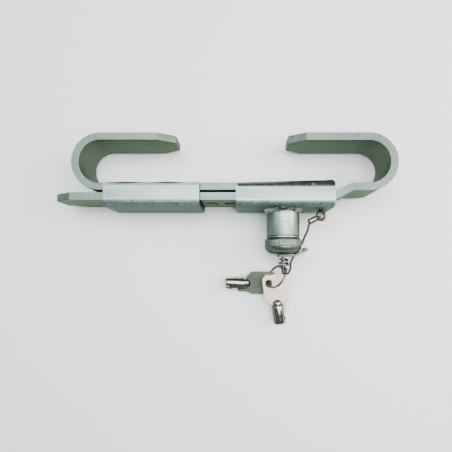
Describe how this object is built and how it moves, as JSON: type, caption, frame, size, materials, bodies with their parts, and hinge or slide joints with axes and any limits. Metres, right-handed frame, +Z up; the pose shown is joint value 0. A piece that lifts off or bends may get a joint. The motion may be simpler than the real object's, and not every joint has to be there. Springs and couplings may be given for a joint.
{
  "type": "trailer door bar lock",
  "caption": "Adjustable lock with two J-shaped hooks that clamp a trailer's or container's door rods, with a push lock under a tethered dust cap and keys on a ring.",
  "frame": {"origin": "centre of the footprint of the object without its tether, at the bottom of the guides", "axes": "+X along the bars towards the sliding hook, +Y towards the hooks' arms, +Z up from the surface it lies on"},
  "size_m": [0.3193, 0.1826, 0.048],
  "materials": {
    "zinc_steel": "satin zinc plate, faintly green grey",
    "weld_steel": "plated weld bead, rippled",
    "barrel_steel": "turned and plated, semi-gloss",
    "cap_steel": "knurled and plated, satin",
    "hardened_steel": "ground",
    "brass": "machined",
    "spring_steel": "drawn wire, semi-gloss",
    "rubber": "matt",
    "key_dark": "plated sheet, satin",
    "key_nickel": "nickel plated sheet, semi-gloss",
    "key_chrome": "bright",
    "tether_wire": "twisted wire rope",
    "crimp_alloy": "pressed sleeve, satin"
  },
  "bodies": {
    "fixed_hook": {"fixed_hook_bar": "zinc_steel", "left_guide": "zinc_steel", "right_guide": "zinc_steel", "left_weld_upper": "weld_steel", "left_weld_lower": "weld_steel", "right_weld_upper": "weld_steel", "right_weld_lower": "weld_steel", "lock_barrel": "barrel_steel", "barrel_weld": "weld_steel", "barrel_end_ring": "cap_steel", "core_stop_pin": "hardened_steel", "tether_eye": "zinc_steel", "upper_crimp": "crimp_alloy", "tether_cable": "tether_wire"},
    "sliding_hook": {"sliding_hook_bar": "zinc_steel"},
    "lock_core": {"core_sleeve": "barrel_steel", "core_base": "brass", "lock_bolt": "hardened_steel", "bolt_spring": "spring_steel", "driver_pin_1": "hardened_steel", "driver_pin_2": "hardened_steel", "driver_pin_3": "hardened_steel", "driver_pin_4": "hardened_steel", "driver_pin_5": "hardened_steel", "driver_pin_6": "hardened_steel", "driver_pin_7": "hardened_steel", "pin_spring_1": "spring_steel", "pin_spring_2": "spring_steel", "pin_spring_3": "spring_steel", "pin_spring_4": "spring_steel", "pin_spring_5": "spring_steel", "pin_spring_6": "spring_steel", "pin_spring_7": "spring_steel"},
    "key_plug": {"key_plug": "brass", "key_pin_1": "brass", "key_pin_2": "brass", "key_pin_3": "brass", "key_pin_4": "brass", "key_pin_5": "brass", "key_pin_6": "brass", "key_pin_7": "brass"},
    "dust_cap": {"dust_cap": "cap_steel", "cap_seal": "rubber", "cap_stud": "cap_steel", "tether_tab": "cap_steel"},
    "swivel_link": {"swivel_link": "spring_steel"},
    "key_ring": {"key_ring": "spring_steel"},
    "key_1": {"key_1_bow": "key_dark", "key_1_shank": "key_chrome"},
    "key_2": {"key_2_bow": "key_nickel", "key_2_shank": "key_chrome"}
  },
  "joints": [
    {"name": "hook_slide", "type": "slide", "parent": "fixed_hook", "child": "sliding_hook", "axis": [1, 0, 0], "range_m": [0, 0.1204]},
    {"name": "lock_push", "type": "slide", "parent": "fixed_hook", "child": "lock_core", "axis": [0, 1, 0], "range_m": [0, 0.0118], "stiffness_N_per_m": 300, "springref_m": -0.01, "deforming": ["bolt_spring"]},
    {"name": "key_turn", "type": "hinge", "parent": "lock_core", "child": "key_plug", "pos_m": [0.0552, -0.0045, 0.024], "axis": [0, 1, 0], "range_deg": [0, 90]},
    {"name": "cap_pull", "type": "slide", "parent": "fixed_hook", "child": "dust_cap", "axis": [0, -1, 0], "range_m": [0, 0.012], "deforming": ["tether_cable"]},
    {"name": "link_swivel", "type": "hinge", "parent": "dust_cap", "child": "swivel_link", "pos_m": [0.0552, -0.025, 0.024], "axis": [0, 1, 0], "range_deg": [-20, 20]},
    {"name": "ring_swing", "type": "hinge", "parent": "swivel_link", "child": "key_ring", "pos_m": [0.05697, -0.0336, 0.02119], "axis": [0.2364, -0.5512, 0.8002], "range_deg": [-8, 25]},
    {"name": "key_1_swing", "type": "hinge", "parent": "key_ring", "child": "key_1", "pos_m": [0.04283, -0.041, 0.00755], "axis": [-0.4165, -0.8931, 0.1701], "range_deg": [-10, 10]},
    {"name": "key_2_swing", "type": "hinge", "parent": "key_ring", "child": "key_2", "pos_m": [0.04135, -0.04974, 0.01286], "axis": [0.1568, -0.6335, 0.7577], "range_deg": [-10, 10]}
  ]
}
